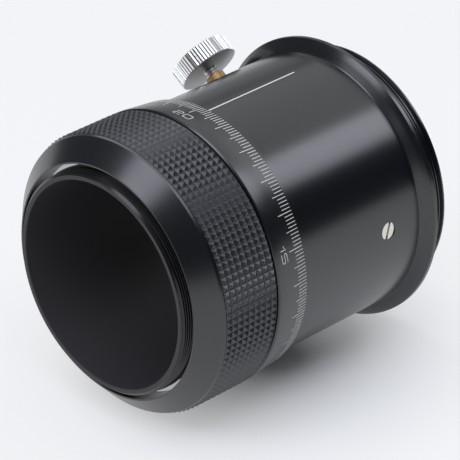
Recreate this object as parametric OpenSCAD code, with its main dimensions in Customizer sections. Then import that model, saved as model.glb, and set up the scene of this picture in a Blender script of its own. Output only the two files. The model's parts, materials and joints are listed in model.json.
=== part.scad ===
// Focusing helicoid for a telescope or camera tube, lying on its side.
// Turning the knurled ring moves the front group along the barrel; the front tube slides
// without turning. It is drawn fully out, as the number 20 stands at the index line.
// The optical axis is Y. The nose points to -Y. The origin is on the axis, at the shoulder
// behind which the rear thread begins. Angles are counted from +X towards +Z.

/* [Focus travel] */
// Way that the front group moves between its two stops
travel = 20; // [12:0.5:21]
// Advance of the front group in one turn of the ring
lead = 25; // [20:0.5:40]
// Number of starts of the focusing thread
thread_starts = 8; // [5:1:10]
// Radial height of the focusing thread
thread_depth = 0.9; // [0.6:0.05:1.2]
// Width of the focusing thread's crest, along the axis
thread_crest = 1.1; // [0.7:0.05:1.3]
// Way that one flank of the focusing thread leans, along the axis
thread_flank = 0.3; // [0.1:0.05:0.4]
// Radial play of the focusing thread
thread_play = 0.3; // [0.25:0.01:0.4]
// Play of the focusing thread at each flank, along the axis
flank_play = 0.25; // [0.2:0.01:0.35]
// Space that is left at the stops
stop_gap = 0.4; // [0.2:0.05:0.8]

/* [Front tube] */
// Clear bore of the tube
bore_d = 46.6; // [42:0.1:48]
// Wall of the tube where the ring turns on it
tube_wall = 0.9; // [0.8:0.05:1.4]
// Height of the front thread over the tube's wall
front_thread_step = 0.7; // [0.4:0.05:1]
// Length of the front thread
front_thread_len = 3.5; // [2.8:0.1:4]
// Way that the tube stands out of the nose
tube_proud = 1.7; // [0.5:0.1:2.2]
// Bevel at the bore's front edge
bore_bevel = 0.15; // [0.05:0.05:0.4]
// Bevel at the tube's outer front edge
rim_bevel = 0.85; // [0.2:0.05:0.9]
// Thickness of the two thrust washers
washer_t = 0.4; // [0.3:0.05:0.6]
// Width of the thrust washers, across the radius
washer_w = 0.9; // [0.7:0.05:1.1]
// Length of the retaining ring
retainer_len = 1.5; // [1:0.1:2]
// Height of the retaining ring over the tube's wall
retainer_h = 0.8; // [0.6:0.05:0.9]
// Depth of the groove that holds the retaining ring
retainer_groove = 0.4; // [0.2:0.05:0.5]

/* [Focus ring] */
// Wall of the driving sleeve under its thread
sleeve_wall = 1.84; // [1.6:0.02:2.2]
// Length of the sleeve's seat in the ring
sleeve_seat_len = 2.3; // [1.8:0.1:2.6]
// Height of the sleeve's seat over its thread
sleeve_seat_step = 0.2; // [0.15:0.05:0.4]
// Width of the gap between the tube's thread and the nose
nose_gap = 1.3; // [1:0.05:1.4]
// Length of the nose's cone
nose_len = 4.15; // [3.5:0.05:5]
// Width of the bevel at the nose's rim, along the axis
nose_bevel = 0.5; // [0.2:0.05:0.8]
// Height of the bevel at the nose's rim, across the radius
nose_bevel_h = 0.2; // [0.1:0.05:0.5]
// Width of the flat at the nose's front edge
nose_edge = 0.35; // [0.1:0.05:0.6]
// Height of the nose's rim over the ring's skirt
nose_rim_h = 0.64; // [0.5:0.02:1]
// Wall of the ring's skirt
skirt_wall = 0.7; // [0.6:0.05:1]
// Width of the grooves on both sides of the grip
groove_w = 0.25; // [0.2:0.05:0.6]
// Length of the grip
grip_len = 14.5; // [12:0.5:18]
// Wall of the grip under its knurl
grip_wall = 0.5; // [0.4:0.05:0.8]
// Height of the knurl's points
knurl_h = 0.6; // [0.3:0.05:0.8]
// Number of knurl points in a row round the grip
knurl_n = 124; // [80:2:130]
// Number of rows of knurl points along the grip
knurl_rows = 9; // [5:1:11]
// Length of the scale ring
scale_len = 8.85; // [7:0.05:11]
// Length of the scale ring's seat on the skirt
scale_seat_len = 2.8; // [2:0.1:3.5]
// Length of the scale ring's straight band, next to the grip
scale_band = 1.2; // [0.8:0.1:2]
// Height of the scale ring's band over the skirt
scale_band_h = 0.96; // [0.7:0.02:1.2]
// Bevel at the scale ring's front edge
scale_bevel = 0.15; // [0.05:0.05:0.3]
// Wall of the scale ring at its thin rear edge
scale_edge_wall = 1.07; // [0.8:0.01:1.2]

/* [Barrel] */
// Wall of the barrel round its thread liner
barrel_wall = 1.3; // [1.2:0.05:1.8]
// Wall of the barrel behind the liner
barrel_rear_wall = 2.1; // [1.8:0.05:2.2]
// Wall of the thread liner behind its thread
liner_wall = 0.9; // [0.7:0.05:1.2]
// Length of the thread liner
liner_len = 9; // [7:0.5:12]
// Length of barrel that shows with the ring fully out
barrel_show = 35.7; // [33:0.1:38]
// Width of the white index line
index_w = 0.4; // [0.2:0.05:0.8]
// Depth of the groove that holds the index line
index_depth = 0.15; // [0.1:0.01:0.3]
// Distance of the index line's rear end from the flange's lip
index_back = 8.8; // [6:0.1:14]

/* [Rear flange] */
// Outer diameter of the rear thread
rear_thread_d = 57; // [56:0.1:58]
// Length of the rear thread
rear_thread_len = 6.6; // [4:0.1:8]
// Bevel at the thread's end
rear_thread_bevel = 0.5; // [0.2:0.05:0.8]
// Outer diameter of the flange
flange_d = 64.6; // [62:0.1:68]
// Width of the flange's rim, along the axis
flange_rim = 1; // [0.6:0.05:2]
// Length of the flared front of the flange
flare_len = 1.8; // [1.4:0.05:3]
// Height of the flange's front lip over the barrel
lip_h = 0.2; // [0.1:0.05:0.5]
// Bevel at the flange's edges
flange_bevel = 0.15; // [0.05:0.05:0.3]
// Space between the tube and the flange's bore
flange_gap = 0.8; // [0.5:0.05:1.8]
// Length of the spigot that holds the flange in the barrel
spigot_len = 2.4; // [1.5:0.1:2.6]

/* [Guides] */
// Angle of the guide screws, the second one is opposite
guide_angle = 5; // [-20:1:30]
// Distance of the guide screws from the flange's lip
guide_back = 9.65; // [9:0.05:13]
// Head diameter of a guide screw
guide_head_d = 4; // [3:0.1:5]
// Shank diameter of a guide screw
guide_shank_d = 2; // [1.6:0.1:2.5]
// Depth of a guide screw's head under the barrel's surface
guide_sink = 0.1; // [0.05:0.01:0.3]
// Width of the slot in a guide screw
guide_slot_w = 0.6; // [0.4:0.05:0.8]
// Depth of the slot in a guide screw
guide_slot_depth = 0.6; // [0.3:0.05:0.8]
// Angle at which the slot of a guide screw came to rest
guide_slot_angle = 20; // [-90:5:90]
// Width of a guide key
key_w = 4; // [3:0.1:5]
// Length of a guide key
key_len = 5.5; // [4:0.1:6]
// Depth to which a guide key enters the tube's wall
key_depth = 0.6; // [0.4:0.05:0.8]
// Depth of the pocket that holds a guide key in the barrel
key_seat = 0.6; // [0.3:0.05:0.9]
// Play of a guide key in the tube's slot, on each side
key_play = 0.1; // [0.05:0.01:0.2]

/* [Lock screw] */
// Angle of the lock screw
lock_angle = 147; // [120:1:165]
// Distance of the lock screw from the flange's lip
lock_back = 6; // [5.6:0.05:7]
// Diameter of the lock screw's stud
stud_d = 3; // [2.5:0.1:3.4]
// Diameter of the brass bush
bush_d = 4.4; // [4:0.1:6]
// Way that the bush stands out of the barrel
bush_proud = 3; // [1:0.1:3.6]
// Diameter of the lock screw's knurled head
head_d = 14.2; // [10:0.1:16]
// Height of the lock screw's head
head_h = 4.05; // [3:0.05:6]
// Space between the barrel and the lock screw's head
head_gap = 5; // [4.2:0.1:7]
// Number of flutes round the head
head_flutes = 60; // [30:2:80]
// Width of a flute at the head's surface
flute_w = 0.4; // [0.2:0.05:0.45]
// Depth of the flutes
flute_depth = 0.35; // [0.2:0.05:0.5]
// Bevel at the head's edges
head_bevel = 0.15; // [0.1:0.05:0.5]
// Length of the lock pad
pad_len = 1.8; // [1.4:0.05:2.2]
// Space between the loose lock pad and the tube
pad_gap = 0.3; // [0.3:0.01:0.5]
// Length of the lock pad that the bush guides
pad_guide = 1; // [0.6:0.05:1.2]

/* [Fits] */
// Radial clearance of turning and sliding round pieces
run_fit = 0.06; // [0.03:0.01:0.09]
// Space between the skirt and the barrel
skirt_gap = 0.3; // [0.25:0.01:0.5]
// Axial space at the thrust washers
washer_play = 0.05; // [0.03:0.01:0.1]
// Diameter of the locking pins
pin_d = 1; // [0.8:0.1:1.2]
// Length of the locking pins
pin_len = 2; // [1.5:0.1:2.2]
// Number of locking pins in a ring
pin_n = 3; // [2:1:6]
// Angle of the first locking pin in a ring
pin_angle = 15; // [0:5:90]

/* [Hidden] */
$fn = 192;
// Reach of a cut past the face that it opens
over = 1;

// Radii, from the bore outwards
bore_r = bore_d / 2;
tube_r = bore_r + tube_wall;
front_thread_r = tube_r + front_thread_step;
sleeve_bore_r = tube_r + run_fit;
root_r = sleeve_bore_r + sleeve_wall;
crest_r = root_r + thread_depth;
sleeve_seat_r = crest_r + sleeve_seat_step;
nut_root_r = crest_r + thread_play;
nut_crest_r = root_r + thread_play;
liner_r = nut_root_r + liner_wall;
barrel_r = liner_r + barrel_wall;
barrel_rear_r = barrel_r - barrel_rear_wall;
skirt_in_r = barrel_r + skirt_gap;
skirt_r = skirt_in_r + skirt_wall;
valley_r = skirt_r + grip_wall;
nose_in_r = front_thread_r + nose_gap;
nose_rim_r = skirt_r + nose_rim_h;
scale_in_r = barrel_r + run_fit;
scale_band_r = skirt_r + scale_band_h;
scale_edge_r = scale_in_r + scale_edge_wall;
lip_r = barrel_r + lip_h;
flange_r = flange_d / 2;
flange_bore_r = tube_r + flange_gap;
spigot_r = (barrel_rear_r + barrel_r) / 2;
retainer_r = tube_r + retainer_h;
retainer_in_r = tube_r - retainer_groove;
counterbore_r = retainer_r + skirt_gap;
washer_r = sleeve_bore_r + washer_w;

// Places along the axis, from the rear shoulder to the nose
lip_y = -flange_rim - flare_len;
spigot_y = lip_y - spigot_len;
lock_y = lip_y - lock_back;
guide_y = lip_y - guide_back;
index_end_y = lip_y - index_back;
scale_edge_y = lip_y - barrel_show;
scale_front_y = scale_edge_y - scale_len;
grip_back_y = scale_front_y - groove_w;
grip_front_y = grip_back_y - grip_len;
nose_back_y = grip_front_y - groove_w;
nose_front_y = nose_back_y - nose_bevel - nose_len;
tube_front_y = nose_front_y - tube_proud;
shoulder_y = tube_front_y + front_thread_len;
sleeve_front_y = shoulder_y + washer_t + 2 * washer_play;
hub_back_y = sleeve_front_y + sleeve_seat_len;
barrel_front_y = hub_back_y + travel + stop_gap;
liner_back_y = barrel_front_y + liner_len;
key_front_y = guide_y - key_len / 2;
key_back_y = guide_y + key_len / 2;
sleeve_back_y = key_front_y - travel - stop_gap;
retainer_back_y = sleeve_back_y - stop_gap;
retainer_front_y = retainer_back_y - retainer_len;
counterbore_y = retainer_front_y - washer_t - 2 * washer_play;
skirt_back_y = scale_front_y + scale_seat_len;
pad_r = stud_d / 2;
tube_back_y = lock_y + pad_r + stop_gap + washer_w;

// Heights of a guide screw's head and neck over the axis
guide_head_x = sqrt(pow(barrel_r, 2) - pow(guide_head_d / 2, 2)) - guide_sink;
guide_neck_x = guide_head_x - (guide_head_d - guide_shank_d) / 2;

// Heights of the lock screw's pieces over the axis
pad_low = tube_r + pad_gap;
pad_top = pad_low + pad_len;
bush_low = pad_top - pad_guide;
bush_top = barrel_r + bush_proud;
head_low = barrel_r + head_gap;
head_top = head_low + head_h;

// Twist between two cross-sections of the focusing thread
thread_step = 12;
// Turn of the thread for one millimetre along the axis
thread_rate = 360 / lead;

function polar(r, a) = [r * cos(a), r * sin(a)];
// Outline of the thread across the axis; grow widens each tooth along the axis
function thread_outline(root, crest, grow) =
    let(pitch = 360 / thread_starts,
        top = (thread_crest / 2 + grow) * thread_rate,
        foot = top + thread_flank * thread_rate,
        rest = pitch - 2 * foot)
    [for (i = [0 : thread_starts - 1])
        for (p = [[crest, -top], [crest, -top / 3], [crest, top / 3], [crest, top],
                  [root, foot], [root, foot + rest / 3], [root, foot + 2 * rest / 3], [root, foot + rest]])
            polar(p[0], p[1] + i * pitch)];

// Turns a shape drawn along Z so that it lies along Y
module on_axis() {
    rotate([-90, 0, 0]) children();
}

// Revolves an outline of [radius, place] points round the optical axis
module revolve(points) {
    on_axis() rotate_extrude() polygon(points);
}

// Straight ring between two radii and two places
module ring(in_r, out_r, front, back) {
    revolve([[in_r, front], [out_r, front], [out_r, back], [in_r, back]]);
}

// Round rod along the optical axis
module rod(r, front, back) {
    on_axis() translate([0, 0, front]) cylinder(r = r, h = back - front);
}

// Places a shape drawn along +X at an angle round the axis and a place along it
module at(angle, place) {
    translate([0, place, 0]) rotate([0, -angle, 0]) children();
}

// Round rod along a radius, between two heights over the axis
module radial_rod(r, low, high) {
    translate([low, 0, 0]) rotate([0, 90, 0]) cylinder(r = r, h = high - low);
}

// Both guides, opposite each other
module at_guides() {
    for (side = [0, 180])
        at(guide_angle + side, guide_y) children();
}

// Left-hand focusing thread between two places
module focus_thread(root, crest, grow, front, back) {
    turn = (back - front) * thread_rate;
    steps = ceil(turn / thread_step);
    on_axis()
        translate([0, 0, front])
            rotate([0, 0, -front * thread_rate])
                linear_extrude(height = back - front, twist = turn, slices = steps, $fn = 0)
                    polygon(thread_outline(root, crest, grow));
}

// Small pins that lie half in each of two round pieces
module seam_pins(r, front) {
    for (i = [0 : pin_n - 1])
        at(pin_angle + i * 360 / pin_n, 0) translate([r, 0, 0]) rod(pin_d / 2, front, front + pin_len);
}

// Countersunk slotted screw along +X
module guide_screw() {
    top_x = guide_head_x - run_fit;
    difference() {
        union() {
            translate([guide_neck_x, 0, 0]) rotate([0, 90, 0])
                cylinder(r1 = guide_shank_d / 2, r2 = guide_head_d / 2 - run_fit, h = top_x - guide_neck_x);
            radial_rod(guide_shank_d / 2, barrel_rear_r - key_seat, guide_neck_x + run_fit);
        }
        rotate([-guide_slot_angle, 0, 0])
            translate([top_x - guide_slot_depth, -guide_slot_w / 2, -guide_head_d])
                cube([guide_slot_depth + over, guide_slot_w, 2 * guide_head_d]);
    }
}

// Hole for a guide screw, open to the outside
module guide_hole() {
    translate([guide_neck_x, 0, 0]) rotate([0, 90, 0])
        cylinder(r1 = guide_shank_d / 2, r2 = guide_head_d / 2, h = guide_head_x - guide_neck_x);
    radial_rod(guide_head_d / 2, guide_head_x, barrel_r + over);
    radial_rod(guide_shank_d / 2, bore_r, guide_neck_x);
}

// Guide key along +X, or with grow its pocket in the barrel
module key_block(low, high, grow) {
    translate([low, -key_len / 2 - grow, -key_w / 2 - grow])
        cube([high - low, key_len + 2 * grow, key_w + 2 * grow]);
}

// White index line: a strip of the barrel's own round surface
module index_strip(top_r) {
    intersection() {
        ring(barrel_r - index_depth, top_r, barrel_front_y + stop_gap, index_end_y);
        translate([-index_w / 2, barrel_front_y, 0])
            cube([index_w, index_end_y - barrel_front_y, 2 * barrel_r]);
    }
}

module barrel() {
    color("#1b1b1d") difference() {
        revolve([[liner_r, barrel_front_y], [barrel_r, barrel_front_y], [barrel_r, lip_y],
                 [spigot_r, lip_y], [spigot_r, spigot_y], [barrel_rear_r, spigot_y],
                 [barrel_rear_r, liner_back_y], [liner_r, liner_back_y]]);
        at_guides() guide_hole();
        at_guides() key_block(bore_r, barrel_rear_r + key_seat, run_fit);
        at(lock_angle, lock_y) radial_rod(bush_d / 2, bore_r, barrel_r + over);
        index_strip(barrel_r + over);
        seam_pins(liner_r, liner_back_y - pin_len);
    }
}

module thread_liner() {
    color("#b08d3f") difference() {
        rod(liner_r, barrel_front_y, liner_back_y);
        focus_thread(nut_crest_r, nut_root_r, 0, barrel_front_y - over, liner_back_y + over);
        seam_pins(liner_r, liner_back_y - pin_len);
    }
}

module liner_pins() {
    color("silver") seam_pins(liner_r, liner_back_y - pin_len);
}

module rear_flange() {
    color("#161618") revolve([
        [flange_bore_r, spigot_y], [spigot_r, spigot_y], [spigot_r, lip_y], [lip_r, lip_y],
        [flange_r - flange_bevel, -flange_rim - flange_bevel], [flange_r, -flange_rim],
        [flange_r, -flange_bevel], [flange_r - flange_bevel, 0],
        [rear_thread_d / 2, 0], [rear_thread_d / 2, rear_thread_len - rear_thread_bevel],
        [rear_thread_d / 2 - rear_thread_bevel, rear_thread_len], [flange_bore_r, rear_thread_len]]);
}

module guide_screws() {
    color("silver") at_guides() guide_screw();
}

module guide_keys() {
    color("#b08d3f") at_guides() difference() {
        key_block(tube_r - key_depth, barrel_rear_r + key_seat, 0);
        radial_rod(guide_shank_d / 2, barrel_rear_r - key_seat, barrel_r);
    }
}

module lock_bush() {
    color("#b98a3a") at(lock_angle, lock_y) difference() {
        radial_rod(bush_d / 2, bush_low, bush_top);
        radial_rod(stud_d / 2 + run_fit, bush_low - over, bush_top + over);
    }
}

module index_line() {
    color("white") index_strip(barrel_r - run_fit / 2);
}

module inner_tube() {
    color("#222224") difference() {
        revolve([[bore_r + bore_bevel, tube_front_y], [front_thread_r - rim_bevel, tube_front_y],
                 [front_thread_r, tube_front_y + rim_bevel], [front_thread_r, shoulder_y],
                 [tube_r, shoulder_y], [tube_r, retainer_front_y], [retainer_in_r, retainer_front_y],
                 [retainer_in_r, retainer_back_y], [tube_r, retainer_back_y], [tube_r, tube_back_y],
                 [bore_r, tube_back_y], [bore_r, tube_front_y + bore_bevel]]);
        for (side = [0, 180])
            at(guide_angle + side, 0)
                translate([0, key_front_y - travel - stop_gap / 2, -key_w / 2 - key_play])
                    cube([2 * tube_r, key_len + travel + stop_gap, key_w + 2 * key_play]);
    }
}

module front_thrust_washer() {
    front = shoulder_y + washer_play;
    color("#101012") ring(sleeve_bore_r, washer_r, front, front + washer_t);
}

module rear_thrust_washer() {
    front = counterbore_y + washer_play;
    color("#101012") ring(sleeve_bore_r, washer_r, front, front + washer_t);
}

module retaining_ring() {
    color("#8f9194") ring(retainer_in_r, retainer_r, retainer_front_y, retainer_back_y);
}

module focus_ring() {
    color("#151517") difference() {
        revolve([[nose_in_r, nose_front_y], [nose_in_r + nose_edge, nose_front_y],
                 [nose_rim_r - nose_bevel_h, nose_back_y - nose_bevel], [nose_rim_r, nose_back_y],
                 [skirt_r, nose_back_y], [skirt_r, skirt_back_y],
                 [skirt_in_r, skirt_back_y], [skirt_in_r, hub_back_y], [sleeve_seat_r, hub_back_y],
                 [sleeve_seat_r, sleeve_front_y], [nose_in_r, sleeve_front_y]]);
        seam_pins(sleeve_seat_r, hub_back_y - pin_len);
    }
}

// Knurled rod: a grid of four-sided points, in rows along the axis and round it
module knurled_rod(front, back) {
    n = knurl_n;
    rows = knurl_rows;
    step = (back - front) / rows;
    corners = [for (i = [0 : rows]) for (k = [0 : n - 1])
        concat(polar(valley_r, k * 360 / n), front + i * step)];
    peaks = [for (i = [0 : rows - 1]) for (k = [0 : n - 1])
        concat(polar(valley_r + knurl_h, (k + 1 / 2) * 360 / n), front + (i + 1 / 2) * step)];
    sides = [for (i = [0 : rows - 1]) for (k = [0 : n - 1])
        let(a = i * n + k, b = i * n + (k + 1) % n, c = a + n, d = b + n, p = len(corners) + a)
        each [[a, c, p], [c, d, p], [d, b, p], [b, a, p]]];
    ends = [[for (k = [0 : n - 1]) k], [for (k = [n - 1 : -1 : 0]) rows * n + k]];
    on_axis() polyhedron(concat(corners, peaks), concat(sides, ends));
}

module grip_ring() {
    color("#26282d") difference() {
        knurled_rod(grip_front_y, grip_back_y);
        rod(skirt_r, grip_front_y - over, grip_back_y + over);
    }
}

module scale_ring() {
    color("#18181a") revolve([
        [skirt_r, scale_front_y], [scale_band_r - scale_bevel, scale_front_y],
        [scale_band_r, scale_front_y + scale_bevel], [scale_band_r, scale_front_y + scale_band],
        [scale_edge_r, scale_edge_y], [scale_in_r, scale_edge_y], [scale_in_r, skirt_back_y],
        [skirt_r, skirt_back_y]]);
}

module drive_sleeve() {
    color("#c2c4c7") difference() {
        union() {
            rod(sleeve_seat_r, sleeve_front_y, hub_back_y);
            focus_thread(root_r, crest_r, -flank_play, hub_back_y - stop_gap, sleeve_back_y);
        }
        rod(sleeve_bore_r, sleeve_front_y - over, sleeve_back_y + over);
        rod(counterbore_r, counterbore_y, sleeve_back_y + over);
        seam_pins(sleeve_seat_r, hub_back_y - pin_len);
    }
}

module sleeve_pins() {
    color("silver") seam_pins(sleeve_seat_r, hub_back_y - pin_len);
}

// Outline of the lock screw's head, with flutes between flat ribs
function flute_outline(n, out_r, in_r) =
    let(half = asin(flute_w / 2 / out_r))
    [for (i = [0 : n - 1]) for (p = [[out_r, -half], [in_r, 0], [out_r, half]])
        polar(p[0], p[1] + i * 360 / n)];

module thumbscrew_head() {
    head_r = head_d / 2;
    clear_r = head_r + flute_depth;
    clear_h = head_bevel + flute_depth;
    color("#d9dadc") at(lock_angle, lock_y) translate([head_low, 0, 0]) rotate([0, 90, 0])
        difference() {
            intersection() {
                linear_extrude(height = head_h)
                    polygon(flute_outline(head_flutes, head_r, head_r - flute_depth));
                rotate_extrude() polygon([[0, 0], [head_r - head_bevel, 0], [clear_r, clear_h],
                    [clear_r, head_h - clear_h], [head_r - head_bevel, head_h], [0, head_h]]);
            }
            translate([0, 0, -over]) cylinder(r = stud_d / 2, h = over + head_h / 2);
        }
}

module thumbscrew_stud() {
    color("#c9cacc") at(lock_angle, lock_y) radial_rod(stud_d / 2, pad_top, head_low + head_h / 2);
}

module lock_pad() {
    color("#e8e4d8") at(lock_angle, lock_y) radial_rod(pad_r, pad_low, pad_top);
}

barrel();
thread_liner();
liner_pins();
rear_flange();
guide_screws();
guide_keys();
lock_bush();
index_line();
inner_tube();
front_thrust_washer();
rear_thrust_washer();
retaining_ring();
focus_ring();
grip_ring();
scale_ring();
drive_sleeve();
sleeve_pins();
thumbscrew_head();
thumbscrew_stud();
lock_pad();
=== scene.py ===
import json
import math

import bmesh
import bpy
from mathutils import Matrix, Vector


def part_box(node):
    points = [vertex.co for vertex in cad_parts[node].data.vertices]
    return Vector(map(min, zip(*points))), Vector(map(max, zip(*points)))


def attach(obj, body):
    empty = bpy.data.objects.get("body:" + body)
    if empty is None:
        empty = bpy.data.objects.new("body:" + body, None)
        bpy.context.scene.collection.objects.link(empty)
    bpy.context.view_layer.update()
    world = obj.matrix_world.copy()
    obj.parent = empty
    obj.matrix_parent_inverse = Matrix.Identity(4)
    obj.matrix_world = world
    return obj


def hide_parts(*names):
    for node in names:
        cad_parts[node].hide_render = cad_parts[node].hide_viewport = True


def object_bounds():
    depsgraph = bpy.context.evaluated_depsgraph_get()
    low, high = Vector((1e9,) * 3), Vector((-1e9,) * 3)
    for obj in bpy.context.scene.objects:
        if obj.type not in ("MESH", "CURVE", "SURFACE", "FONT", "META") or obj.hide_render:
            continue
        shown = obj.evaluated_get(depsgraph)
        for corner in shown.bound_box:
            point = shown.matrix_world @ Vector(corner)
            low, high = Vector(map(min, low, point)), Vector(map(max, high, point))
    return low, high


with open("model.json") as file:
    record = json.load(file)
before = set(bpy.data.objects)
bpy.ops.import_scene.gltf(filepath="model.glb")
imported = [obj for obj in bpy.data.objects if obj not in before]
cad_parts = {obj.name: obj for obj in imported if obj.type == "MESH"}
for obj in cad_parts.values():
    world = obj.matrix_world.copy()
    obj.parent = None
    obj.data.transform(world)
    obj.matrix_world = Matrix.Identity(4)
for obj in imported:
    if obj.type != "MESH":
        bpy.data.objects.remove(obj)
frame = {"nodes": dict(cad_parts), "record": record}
first_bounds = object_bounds()
nodes = frame["nodes"]
record = frame["record"]

# Sizes of the part are in millimetres, as in the CAD source; MM turns them into metres.
MM = 0.001
# Two radii or places that differ by less are the same.
NEAR = 0.01
MOUNT_R = {m["name"]: m["dims"]["r_mm"] for m in record["mounts"] if "r_mm" in m["dims"]}
lock = next(j for j in record["behaviour"]["joints"] if j["name"] == "thumbscrew_turn")
LOCK_OUT = -Vector(lock["axis"])
LOCK_Y = lock["pos_m"][1] / MM


# Materials

GRAIN_DETAIL = 5.0
# Height of the grain and of the turned lines
RELIEF = 0.02
# Radians that a wave texture of scale 1 turns through in a metre
WAVE_RATE = 20
WOBBLE, WOBBLE_DETAIL = 1.0, 1.0
# Samples for the painted shade in hollows and for the softened edges
HOLLOW_SHADE_SAMPLES, EDGE_SAMPLES = 8, 4


def material(name, color, rough, metallic=0.0, ior=1.5, vary=0.15, rough_vary=0.05, grain=1500.0,
             bump=0.0, lines=0.0, line_pitch=0.35, bevel=0.06, hollow_shade=0.0):
    """Principled surface with grain, turned lines, softened edges and painted shade in hollows."""
    made = bpy.data.materials.new(name)
    made.use_nodes = True
    tree = made.node_tree
    link = tree.links.new
    bsdf = tree.nodes["Principled BSDF"]
    bsdf.inputs["Metallic"].default_value = metallic
    bsdf.inputs["IOR"].default_value = ior

    place = tree.nodes.new("ShaderNodeTexCoord")
    noise = tree.nodes.new("ShaderNodeTexNoise")
    noise.inputs["Scale"].default_value = grain
    noise.inputs["Detail"].default_value = GRAIN_DETAIL
    link(place.outputs["Object"], noise.inputs["Vector"])

    mix = tree.nodes.new("ShaderNodeMix")
    mix.data_type = "RGBA"
    mix.inputs["A"].default_value = [c * (1 - vary) for c in color] + [1]
    mix.inputs["B"].default_value = [min(1, c * (1 + vary)) for c in color] + [1]
    link(noise.outputs["Fac"], mix.inputs["Factor"])
    tint = mix.outputs["Result"]
    # Painted shade: ambient occlusion darkens the colour in hollows and creases.
    if hollow_shade:
        painted_shade = tree.nodes.new("ShaderNodeAmbientOcclusion")
        painted_shade.samples = HOLLOW_SHADE_SAMPLES
        painted_shade.only_local = True
        painted_shade.inputs["Distance"].default_value = hollow_shade * MM
        link(tint, painted_shade.inputs["Color"])
        tint = painted_shade.outputs["Color"]
    link(tint, bsdf.inputs["Base Color"])

    spread = tree.nodes.new("ShaderNodeMapRange")
    spread.inputs["To Min"].default_value = rough - rough_vary
    spread.inputs["To Max"].default_value = rough + rough_vary
    link(noise.outputs["Fac"], spread.inputs["Value"])
    link(spread.outputs["Result"], bsdf.inputs["Roughness"])

    soft = tree.nodes.new("ShaderNodeBevel")
    soft.samples = EDGE_SAMPLES
    soft.inputs["Radius"].default_value = bevel * MM
    normal = soft.outputs["Normal"]
    heights = []
    if bump:
        heights.append((noise.outputs["Fac"], bump))
    if lines:
        wave = tree.nodes.new("ShaderNodeTexWave")
        wave.bands_direction = "Y"
        wave.inputs["Scale"].default_value = 2 * math.pi / (WAVE_RATE * line_pitch * MM)
        wave.inputs["Distortion"].default_value = WOBBLE
        wave.inputs["Detail"].default_value = WOBBLE_DETAIL
        link(place.outputs["Object"], wave.inputs["Vector"])
        heights.append((wave.outputs["Fac"], lines))
    for height, strength in heights:
        relief = tree.nodes.new("ShaderNodeBump")
        relief.inputs["Strength"].default_value = strength
        relief.inputs["Distance"].default_value = RELIEF * MM
        link(height, relief.inputs["Height"])
        link(normal, relief.inputs["Normal"])
        normal = relief.outputs["Normal"]
    link(normal, bsdf.inputs["Normal"])
    return made


# Anodised aluminium: the oxide's index gives the outer black pieces their hard gloss.
OXIDE = 1.77
BLACK, BLACK_ROUGH, EVEN = (0.0040, 0.0048, 0.0074), 0.23, 0.008
barrel_black = material("barrel_black", BLACK, BLACK_ROUGH, ior=OXIDE, rough_vary=EVEN, bevel=0.03)
flange_black = material("flange_black", BLACK, BLACK_ROUGH, ior=OXIDE, rough_vary=EVEN, bevel=0.02)
ring_black = material("ring_black", (0.0042, 0.0048, 0.0072), 0.26, ior=OXIDE, rough_vary=EVEN, bevel=0.02)
grip_black = material("grip_black", (0.0085, 0.0100, 0.0150), 0.36, ior=OXIDE, bump=0.04, bevel=0.18)
tube_black = material("tube_black", (0.0060, 0.0060, 0.0070), 0.20, bump=0.03, lines=0.2, line_pitch=0.6,
                      bevel=0.02)
bare_aluminium = material("bare_aluminium", (0.46, 0.46, 0.47), 0.07, metallic=1.0, vary=0.04,
                          rough_vary=0.02)
brass = material("brass", (0.27, 0.165, 0.075), 0.28, metallic=1.0, vary=0.08, lines=0.1)
steel = material("steel", (0.74, 0.72, 0.67), 0.26, metallic=1.0, vary=0.06, bump=0.02, bevel=0.03)
# The chrome gets painted shade in the grooves between the head's flutes.
chrome = material("chrome", (0.86, 0.86, 0.86), 0.15, metallic=1.0, vary=0.03, rough_vary=0.03, bevel=0.02,
                  hollow_shade=0.4)
acetal = material("acetal", (0.012, 0.012, 0.012), 0.5, bump=0.05)
nylon = material("nylon", (0.76, 0.74, 0.66), 0.5, bump=0.05)
white_fill = material("white_fill", (0.76, 0.74, 0.68), 0.55, vary=0.05, bump=0.05, bevel=0.01)


def masked(look, mask, color, rough):
    """Another colour and roughness where a mask node gives 0."""
    tree = look.node_tree
    bsdf = tree.nodes["Principled BSDF"]
    for socket, kind, value in (("Base Color", "RGBA", color + (1,)), ("Roughness", "FLOAT", rough)):
        rest = bsdf.inputs[socket].links[0].from_socket
        both = tree.nodes.new("ShaderNodeMix")
        both.data_type = kind
        a, b = [s for s in both.inputs if s.name in "AB" and s.enabled]
        a.default_value = value
        tree.links.new(rest, b)
        tree.links.new(mask.outputs["Result"], both.inputs["Factor"])
        tree.links.new(next(s for s in both.outputs if s.enabled), bsdf.inputs[socket])


def measure(look, source, operation, by, low, high):
    """Mask from 0 to 1 between two values of a vector operation; a product counts by its length."""
    tree = look.node_tree
    place = tree.nodes.new("ShaderNodeTexCoord")
    result = tree.nodes.new("ShaderNodeVectorMath")
    result.operation = operation
    result.inputs[1].default_value = by
    tree.links.new(place.outputs[source], result.inputs[0])
    if operation == "MULTIPLY":
        product = result.outputs["Vector"]
        result = tree.nodes.new("ShaderNodeVectorMath")
        result.operation = "LENGTH"
        tree.links.new(product, result.inputs[0])
    mask = tree.nodes.new("ShaderNodeMapRange")
    mask.inputs["From Min"].default_value = low
    mask.inputs["From Max"].default_value = high
    tree.links.new(result.outputs["Value"], mask.inputs["Value"])
    return mask


# The tube's bore is blasted.
BORE_MARGIN, BORE_FADE = 0.2, 0.1
BLASTED, BLASTED_ROUGH = (0.036, 0.034, 0.038), 0.6
ACROSS = (1, 0, 1)
bore = MOUNT_R["light_path"] + BORE_MARGIN
in_bore = measure(tube_black, "Object", "MULTIPLY", ACROSS, bore * MM, (bore + BORE_FADE) * MM)
masked(tube_black, in_bore, BLASTED, BLASTED_ROUGH)
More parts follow.
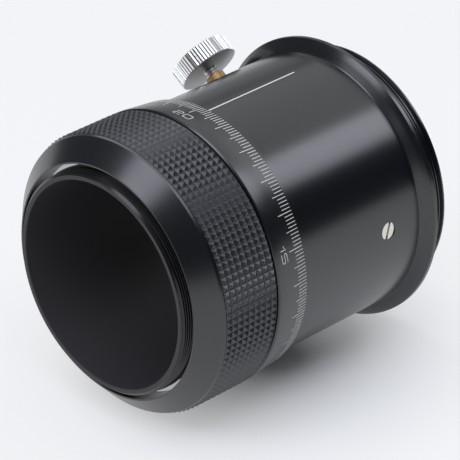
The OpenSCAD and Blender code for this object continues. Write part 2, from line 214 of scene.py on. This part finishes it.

# Both faces of the lock screw's head are only turned, and the underside's colour is darker than the outer
# face's as painted shade; a face's mask is 0 where it looks against the way.
SHADED_UNDER_FACE, OUTER_FACE, TURNED_ROUGH = (0.42, 0.42, 0.43), (0.80, 0.80, 0.81), 0.35
AGAINST, ASIDE = -0.97, -0.90
for way, color in ((LOCK_OUT, SHADED_UNDER_FACE), (-LOCK_OUT, OUTER_FACE)):
    masked(chrome, measure(chrome, "Normal", "DOT_PRODUCT", way, AGAINST, ASIDE), color, TURNED_ROUGH)

FINISH = {
    "barrel": barrel_black, "thread_liner": brass, "liner_pins": steel, "rear_flange": flange_black,
    "guide_screws": steel, "guide_keys": brass, "lock_bush": brass, "index_line": white_fill,
    "inner_tube": tube_black, "front_thrust_washer": acetal, "rear_thrust_washer": acetal,
    "retaining_ring": steel, "focus_ring": ring_black, "grip_ring": grip_black,
    "scale_ring": ring_black, "drive_sleeve": bare_aluminium, "sleeve_pins": steel,
    "thumbscrew_head": chrome, "thumbscrew_stud": steel, "lock_pad": nylon,
}
# Nodes whose faces aren't smoothed, and the angle from which an edge of the others stays sharp
FLAT = {"grip_ring", "guide_keys", "index_line"}
SHARP = math.radians(28)
for name, node in nodes.items():
    node.data.materials.clear()
    node.data.materials.append(FINISH[name])
    for face in node.data.polygons:
        face.use_smooth = name not in FLAT
    if name not in FLAT:
        node.data.set_sharp_from_angle(angle=SHARP)


# Mesh tools

# Steps round a large piece and round the lock screw's stud
ROUND, STUD_ROUND = 192, 64
# Points of a mesh that are closer than this, in metres, become one.
MERGE = 1e-7


def piece(name, parts, look, body, stands_for=()):
    """One object from [(points in mm, faces), ...]."""
    mesh = bmesh.new()
    for points, faces in parts:
        corners = [mesh.verts.new([c * MM for c in p]) for p in points]
        for face in faces:
            mesh.faces.new([corners[i] for i in face])
    bmesh.ops.remove_doubles(mesh, verts=mesh.verts, dist=MERGE)
    bmesh.ops.recalc_face_normals(mesh, faces=mesh.faces)
    data = bpy.data.meshes.new(name)
    mesh.to_mesh(data)
    mesh.free()
    for face in data.polygons:
        face.use_smooth = True
    data.set_sharp_from_angle(angle=SHARP)
    data.materials.append(look)
    made = bpy.data.objects.new(name, data)
    bpy.context.scene.collection.objects.link(made)
    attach(made, body)
    if stands_for:
        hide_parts(*stands_for)


def lathe(profile, count=ROUND):
    """Points and faces of a profile of (radius, place) turned round Y."""
    rows = len(profile)
    points = []
    for k in range(count):
        a = 2 * math.pi * k / count
        points += [(r * math.cos(a), y, r * math.sin(a)) for r, y in profile]
    faces = []
    for k in range(count):
        m = (k + 1) % count
        for i in range(rows - 1):
            faces.append((k * rows + i, k * rows + i + 1, m * rows + i + 1, m * rows + i))
    return points, faces


# Where in a pitch a thread rises, tops out and falls
SHARP_CREST, FLAT_CREST = (0.20, 0.55, 0.65), (0.15, 0.45, 0.75)
# Share of a pitch in which a thread fades in and out at its ends
FADE_SHARE = 0.6
# Depth of a core below the thread on it; the thread's inner wall is as far below the core
SINK = 0.03


def thread(root, crest, start, end, pitch, form, count=ROUND):
    """Closed right-hand thread between two places along Y."""
    shape = [(0.0, 0.0), (form[0], 0.0), (form[1], 1.0), (form[2], 1.0)]
    turns = math.ceil((end - start) / pitch) + 1
    rows = [(turn + p, h) for turn in range(-1, turns + 1) for p, h in shape]
    fade = pitch * FADE_SHARE
    points = []
    for k in range(count):
        a = 2 * math.pi * k / count
        line = [(root - 2 * SINK, start)]
        for p, h in rows:
            y = min(max(start + pitch * (p - k / count), start), end)
            grow = min(1.0, (y - start) / fade, (end - y) / fade)
            line.append((root + (crest - root) * h * max(0.0, grow), y))
        line.append((root - 2 * SINK, end))
        points += [(r * math.cos(a), y, r * math.sin(a)) for r, y in line]
    n = len(rows) + 2
    faces = []
    for k in range(count):
        last = k == count - 1
        m = 0 if last else k + 1
        step = len(shape) if last else 0
        for i in range(1 + step, n - 2):
            faces.append((k * n + i, k * n + i + 1, m * n + i + 1 - step, m * n + i - step))
        for i, j in ((0, 1), (n - 2, n - 1), (n - 1, 0)):
            faces.append((k * n + i, k * n + j, m * n + j, m * n + i))
    return points, faces


def reshaped(node, moved=(), land=0, root=0):
    """A CAD node's mesh with edges of (radius, place) moved and a thread's land taken in to its root."""
    data = nodes[node].data
    points = []
    for v in data.vertices:
        x, y, z = v.co / MM
        r = math.hypot(x, z)
        to_r = root if abs(r - land) < NEAR else r
        for (was_r, was_y), edge in moved:
            if abs(r - was_r) < NEAR and abs(y - was_y) < NEAR:
                to_r, y = edge
        points.append((x * to_r / r, y, z * to_r / r))
    return points, [tuple(p.vertices) for p in data.polygons]


def span(node):
    """Front and rear place of a CAD node along the optical axis."""
    low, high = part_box(node)
    return low.y / MM, high.y / MM


def radius_at(node, place):
    """Outer radius of a CAD node at a place along the optical axis."""
    return max(math.hypot(v.co.x, v.co.z) for v in nodes[node].data.vertices
               if abs(v.co.y / MM - place) < NEAR) / MM


# Rear flange: its thread, the plain land at the thread's end and a bevel in front of its lip

REAR_PITCH, REAR_DEPTH, REAR_START = 0.75, 0.46, 0.3
# The end land's length, its rise out of the core, its bevel, and the thread's distance from it
END_LAND, END_RISE, END_BEVEL, END_STOP = 0.9, 0.3, 0.5, 0.2
LIP_BEVEL, LIP_SINK = 0.2, 0.03

rear = MOUNT_R["rear_thread"]
rear_root = rear - REAR_DEPTH
rear_back = span("rear_flange")[1]
land_front = rear_back - END_LAND
end_land = [(rear_root - SINK, land_front - END_RISE), (rear, land_front), (rear, rear_back - END_BEVEL),
            (rear - END_BEVEL, rear_back)]
lip = span("barrel")[1]
lip_foot = radius_at("barrel", lip) - LIP_SINK
lip_front = (lip_foot, lip - LIP_BEVEL)
lip_bevel = [lip_front, (radius_at("rear_flange", lip), lip), (lip_foot, lip), lip_front]
piece("rear_flange_threaded",
      [reshaped("rear_flange", land=rear, root=rear_root - SINK),
       thread(rear_root, rear, REAR_START, land_front - END_STOP, REAR_PITCH, FLAT_CREST),
       lathe(end_land + end_land[:1]), lathe(lip_bevel)],
      flange_black, "barrel", ["rear_flange"])


# Front tube: its thread, right behind a small bevel at the rim

FRONT_PITCH, FRONT_DEPTH, FRONT_LEN, FRONT_STOP = 0.6, 0.36, 3.5, 0.05
CAD_RIM_BEVEL, RIM_R = 0.85, 24.3

front = MOUNT_R["front_thread"]
front_root = front - FRONT_DEPTH
tube_front = span("inner_tube")[0]
rim_end = tube_front + front_root - RIM_R
rim_edges = (((front - CAD_RIM_BEVEL, tube_front), (RIM_R, tube_front)),
             ((front, tube_front + CAD_RIM_BEVEL), (front_root - SINK, rim_end)))
piece("inner_tube_threaded",
      [reshaped("inner_tube", rim_edges, front, front_root - SINK),
       thread(front_root, front, rim_end, tube_front + FRONT_LEN - FRONT_STOP, FRONT_PITCH, SHARP_CREST)],
      tube_black, "tube", ["inner_tube"])


# Stud of the lock screw, with a plain neck under the head

STUD_R, STUD_PITCH, STUD_DEPTH, STUD_TIP, STUD_NECK = 1.5, 0.5, 0.28, 0.2, 0.5
PAD_CLEARANCE = 0.02


def lock_heights(node):
    """Lowest and highest place of a node along the lock screw's axis, from the optical axis."""
    heights = [v.co @ LOCK_OUT / MM for v in nodes[node].data.vertices]
    return min(heights), max(heights)


def along_lock(points):
    """Moves points drawn round Y to the lock screw's axis."""
    side = Vector((-LOCK_OUT.z, 0, LOCK_OUT.x))
    return [LOCK_OUT * y + side * x + Vector((0, LOCK_Y + z, 0)) for x, y, z in points]


stud_low, stud_high = lock_heights("thumbscrew_stud")
stud_low += PAD_CLEARANCE
neck = lock_heights("thumbscrew_head")[0] - STUD_NECK
stud_root = STUD_R - STUD_DEPTH
core_r = stud_root - SINK
core = lathe([(0, stud_low), (core_r - STUD_TIP, stud_low), (core_r, stud_low + STUD_TIP), (core_r, neck),
              (STUD_R, neck + STUD_DEPTH), (STUD_R, stud_high), (0, stud_high)], STUD_ROUND)
stud_thread = thread(stud_root, STUD_R, stud_low + STUD_TIP, neck, STUD_PITCH, FLAT_CREST, STUD_ROUND)
piece("thumbscrew_stud_threaded", [(along_lock(points), faces) for points, faces in (core, stud_thread)],
      steel, "thumbscrew", ["thumbscrew_stud"])


# Scale ring, with a larger bevel at its front edge

BAND, BAND_BEVEL = 1.2, 0.32

scale_front, scale_edge = span("scale_ring")
edge_r = radius_at("scale_ring", scale_edge)
band_r = radius_at("scale_ring", scale_front + BAND)
cad_edge = radius_at("scale_ring", scale_front)
band_edges = (((cad_edge, scale_front), (band_r - BAND_BEVEL, scale_front)),
              ((band_r, scale_front + band_r - cad_edge), (band_r, scale_front + BAND_BEVEL)))
piece("scale_ring_bevelled", [reshaped("scale_ring", band_edges)], ring_black, "ring",
      ["scale_ring"])


# Scale: filled ticks and numbers on the ring's cone

TURN_MM, TICKS_PER_MM, LABEL_STEP = 25, 10, 5
# Number at the index line when the tube is out, and the angle of that line
AT_INDEX, TOP = 20, 90
LONG_TICK, HALF_TICK, SHORT_TICK, TICK_BACK = 4.25, 3.6, 2.6, 0.05
STROKE, TICK_W, LONG_TICK_W = 0.17, 0.14, 0.16
LABEL_BACK, LABEL_GAP = 5.95, 0.75
# Bottom and top of the paint, from the cone
FILL_LOW, FILL_HIGH = -0.04, 0.012
HALF_W, HALF_H, BEND = 1.0, 0.80, 0.38
# Reach of the flag of a 1, and height at which the bowl of a 5 begins
FLAG, BOWL = 0.85, 0.08


def cone_r(y):
    """Radius of the ring's cone at a place along the optical axis."""
    return edge_r + (band_r - edge_r) * (scale_edge - y) / (scale_edge - scale_front - BAND)


def ribbon(line, width, angle):
    """Stroke on the cone along points of (way to the right, place), from an angle round the axis."""
    line = [Vector(p) for p in line]
    closed = line[0] == line[-1]
    points = []
    for i, p in enumerate(line):
        before, after = line[max(i - 1, 0)], line[min(i + 1, len(line) - 1)]
        if closed and i in (0, len(line) - 1):
            before, after = line[-2], line[1]
        way = (after - before).normalized()
        across = Vector((-way.y, way.x)) * width / 2
        for q, lift in ((p + across, FILL_LOW), (p + across, FILL_HIGH),
                        (p - across, FILL_HIGH), (p - across, FILL_LOW)):
            r = cone_r(q.y)
            a = math.radians(angle) - q.x / r
            points.append(((r + lift) * math.cos(a), q.y, (r + lift) * math.sin(a)))
    faces = []
    for i in range(len(line) - 1):
        for j in range(4):
            m = (j + 1) % 4
            faces.append((4 * i + j, 4 * i + m, 4 * i + 4 + m, 4 * i + 4 + j))
    if not closed:
        faces += [(0, 1, 2, 3), tuple(len(points) - 4 + j for j in (3, 2, 1, 0))]
    return points, faces


def arc(x, y, rx, ry, start, end, steps=10):
    """Points of an ellipse's arc round a centre, between two angles."""
    angles = [math.radians(start + (end - start) * i / steps) for i in range(steps + 1)]
    return [(x + rx * math.cos(a), y + ry * math.sin(a)) for a in angles]


# Stroke lines of the numbers' digits, centred, and their reach to the left and right
side, top = HALF_W - BEND, HALF_H - BEND
ring = (arc(side, top, BEND, BEND, 0, 90) + arc(-side, top, BEND, BEND, 90, 180)
        + arc(-side, -top, BEND, BEND, 180, 270) + arc(side, -top, BEND, BEND, 270, 360))
DIGITS = {
    "0": (ring + ring[:1], HALF_W, HALF_W),
    "1": ([(-FLAG, 0.25), (-0.45, 0.42), (0, HALF_H), (0, -HALF_H)], FLAG, 0.0),
    "2": ([(-HALF_W, HALF_H)] + arc(side, HALF_H / 2, BEND, HALF_H / 2, 90, -90)
          + arc(-side, -HALF_H / 2, BEND, HALF_H / 2, 90, 180) + [(-HALF_W, -HALF_H), (HALF_W, -HALF_H)],
          HALF_W, HALF_W),
    "5": ([(HALF_W, HALF_H), (-0.75, HALF_H), (-HALF_W, 0.62), (-0.9, 0.2), (-0.7, BOWL)]
          + arc(side, (BOWL - HALF_H) / 2, BEND, (BOWL + HALF_H) / 2, 90, -90) + [(-HALF_W, -HALF_H)],
          HALF_W, HALF_W),
}


def tick_size(k):
    """Length and width of a tick: long at each millimetre, middling half way and short between."""
    if k % TICKS_PER_MM == 0:
        return LONG_TICK, LONG_TICK_W
    if k % (TICKS_PER_MM // 2) == 0:
        return HALF_TICK, TICK_W
    return SHORT_TICK, TICK_W


marks = []
tick_count = TURN_MM * TICKS_PER_MM
for k in range(tick_count):
    reach, width = tick_size(k)
    line = [(0, scale_edge - reach), (0, scale_edge - reach / 2), (0, scale_edge - TICK_BACK)]
    marks.append(ribbon(line, width, TOP + 360 * k / tick_count))
for number in range(0, TURN_MM, LABEL_STEP):
    letters = [DIGITS[letter] for letter in str(number)]
    x = -(sum(left + right for _, left, right in letters) + LABEL_GAP * (len(letters) - 1)) / 2
    for line, left, right in letters:
        x += left
        placed = [(x + px, scale_edge - LABEL_BACK + py) for px, py in line]
        marks.append(ribbon(placed, STROKE, TOP - (AT_INDEX - number) * 360 / TURN_MM))
        x += right + LABEL_GAP
piece("scale_marks", marks, white_fill, "ring")


# Floor; its sizes and those of the lamps are in metres

FLOOR_HALF = 4.0
CORNERS = ((-1, -1), (1, -1), (1, 1), (-1, 1))
# Centre of the floor, from which the painted light over the shadow and the painted shade of the paper grow
FLOOR_X, FLOOR_Y = 0.010, -0.025
PAPER, FAR_PAPER = (0.885, 0.89, 0.91, 1), (0.20, 0.20, 0.21, 1)
PAPER_ROUGH, PAPER_VARY, PAPER_GRAIN = 0.7, 0.01, 60.0
PAPER_NEAR, PAPER_FAR = 0.04, 0.46
# White glow, its near and far distance and its share: painted light over the outer part of the object's
# shadow
WHITE, WHITE_NEAR, WHITE_FAR, WHITE_SHARE = (0.935, 0.94, 0.95, 1), 0.004, 0.050, 0.74

floor_mesh = bpy.data.meshes.new("floor")
floor_mesh.from_pydata([(x * FLOOR_HALF, y * FLOOR_HALF, 0) for x, y in CORNERS], [], [(0, 1, 2, 3)])
floor = bpy.data.objects.new("floor", floor_mesh)
floor.location = (FLOOR_X, FLOOR_Y, first_bounds[0].z)
bpy.context.scene.collection.objects.link(floor)
paper = material("floor_paper", PAPER[:3], PAPER_ROUGH, vary=PAPER_VARY, grain=PAPER_GRAIN)
floor_mesh.materials.append(paper)

# Away from the object the paper glows white to the camera and in reflections, painted light that grows
# with distance and lightens the outer part of the object's shadow; for bounced light the paper darkens
# with distance, as painted shade.
tree = paper.node_tree
bsdf = tree.nodes["Principled BSDF"]
place = tree.nodes.new("ShaderNodeTexCoord")
away = tree.nodes.new("ShaderNodeVectorMath")
away.operation = "LENGTH"
tree.links.new(place.outputs["Object"], away.inputs[0])
ray = tree.nodes.new("ShaderNodeLightPath")
shown = ray.outputs["Is Camera Ray"]
for kind in ("Is Glossy Ray", "Is Transmission Ray"):
    either = tree.nodes.new("ShaderNodeMath")
    either.operation = "MAXIMUM"
    tree.links.new(shown, either.inputs[0])
    tree.links.new(ray.outputs[kind], either.inputs[1])
    shown = either.outputs["Value"]


def ramp(near, far, seen, unseen):
    """Share that grows from 0 between two distances, for rays that show the background and for others."""
    full = tree.nodes.new("ShaderNodeMapRange")
    full.inputs["To Min"].default_value = unseen
    full.inputs["To Max"].default_value = seen
    tree.links.new(shown, full.inputs["Value"])
    grow = tree.nodes.new("ShaderNodeMapRange")
    grow.inputs["From Min"].default_value = near
    grow.inputs["From Max"].default_value = far
    tree.links.new(away.outputs["Value"], grow.inputs["Value"])
    tree.links.new(full.outputs["Result"], grow.inputs["To Max"])
    return grow.outputs["Result"]


fade = tree.nodes.new("ShaderNodeMix")
fade.data_type = "RGBA"
fade.inputs["A"].default_value = PAPER
fade.inputs["B"].default_value = FAR_PAPER
tree.links.new(ramp(PAPER_NEAR, PAPER_FAR, 0.0, 1.0), fade.inputs["Factor"])
tree.links.new(fade.outputs["Result"], bsdf.inputs["Base Color"])
white = tree.nodes.new("ShaderNodeEmission")
white.inputs["Color"].default_value = WHITE
lift = tree.nodes.new("ShaderNodeMixShader")
tree.links.new(ramp(WHITE_NEAR, WHITE_FAR, WHITE_SHARE, 0.0), lift.inputs["Fac"])
tree.links.new(bsdf.outputs["BSDF"], lift.inputs[1])
tree.links.new(white.outputs["Emission"], lift.inputs[2])
tree.links.new(lift.outputs["Shader"], tree.nodes["Material Output"].inputs["Surface"])


# Room, which gives a little light, alike for all rays

AMBIENT, ROOM_COLOR = 0.03, (0.84, 0.92, 1.0, 1)
world = bpy.data.worlds.new("studio")
bpy.context.scene.world = world
world.use_nodes = True
background = world.node_tree.nodes["Background"]
background.inputs["Color"].default_value = ROOM_COLOR
background.inputs["Strength"].default_value = AMBIENT


# Lamps

LAMPS_LOOK_AT = Vector((0, -35 * MM, 0))
# Watts for each square metre of a lamp's face that is as bright as white paper
FACE_WATTS = 4


def softbox(name, way, distance, width, height, brightness, color, lights=True, mirrored=True):
    """Area lamp towards the object; brightness is how bright its face is, with white paper at 1."""
    lamp = bpy.data.lights.new(name, "AREA")
    lamp.shape = "RECTANGLE"
    lamp.size = width
    lamp.size_y = height
    lamp.energy = FACE_WATTS * width * height * brightness
    lamp.color = color
    made = bpy.data.objects.new(name, lamp)
    made.location = LAMPS_LOOK_AT + Vector(way).normalized() * distance
    made.rotation_euler = (LAMPS_LOOK_AT - made.location).to_track_quat("-Z", "Y").to_euler()
    made.visible_diffuse = lights
    made.visible_glossy = mirrored
    made.visible_camera = False
    bpy.context.scene.collection.objects.link(made)


COOL, SKY, PLAIN = (0.88, 0.89, 1.0), (0.86, 0.91, 1.0), (0.98, 0.99, 1.0)
softbox("key_back", (0.41, 0.63, 0.66), 0.65, 0.21, 0.20, 2.6, COOL)
softbox("key_front", (-0.20, -0.66, 0.71), 0.65, 0.30, 0.27, 2.7, COOL)
softbox("key_top", (0.20, 0.04, 0.97), 0.65, 0.62, 0.55, 1.4, SKY)
softbox("wall_left", (-0.22, 0.68, 0.68), 0.90, 1.05, 0.50, 0.62, PLAIN)
softbox("wall_low", (-0.76, 0.62, 0.19), 1.00, 0.80, 0.36, 0.34, PLAIN)
softbox("wall_arc", (-0.57, 0.10, 0.81), 0.90, 0.30, 0.90, 1.3, PLAIN)
softbox("wall_top", (0.22, -0.42, 0.88), 0.75, 0.40, 0.34, 1.2, SKY)
softbox("wall_back", (0.0, 0.90, 0.42), 0.90, 0.50, 0.44, 0.9, PLAIN, lights=False)
softbox("wall_high", (-0.52, -0.28, 0.80), 0.80, 0.32, 0.40, 0.7, SKY)
softbox("wall_side", (-0.90, -0.28, 0.34), 1.00, 0.90, 0.60, 0.07, PLAIN)
softbox("wall_front", (-0.25, -0.95, 0.19), 1.00, 1.00, 0.40, 0.66, PLAIN, lights=False)
softbox("fill", (0.55, -0.50, 0.67), 1.00, 1.20, 1.00, 0.62, PLAIN, mirrored=False)


# Camera, fitted to the round edges in the photograph

LENS, SENSOR = 273.0, 36.0
CLIP_START, CLIP_END = 0.05, 20.0
RIGHT, UP, BACK = (0.70064, 0.71352, 0.0), (-0.34928, 0.34298, 0.87199), (0.62218, -0.61095, 0.48952)
EYE = Vector((466.3, -488.7, 365.2)) * MM
lens = bpy.data.cameras.new("camera")
lens.lens = LENS
lens.sensor_width = SENSOR
lens.clip_start = CLIP_START
lens.clip_end = CLIP_END
camera = bpy.data.objects.new("camera", lens)
camera.matrix_world = Matrix([[RIGHT[i], UP[i], BACK[i], EYE[i]] for i in range(3)] + [[0, 0, 0, 1]])
bpy.context.scene.collection.objects.link(camera)
bpy.context.scene.camera = camera
bpy.context.scene.view_settings.view_transform = "Standard"
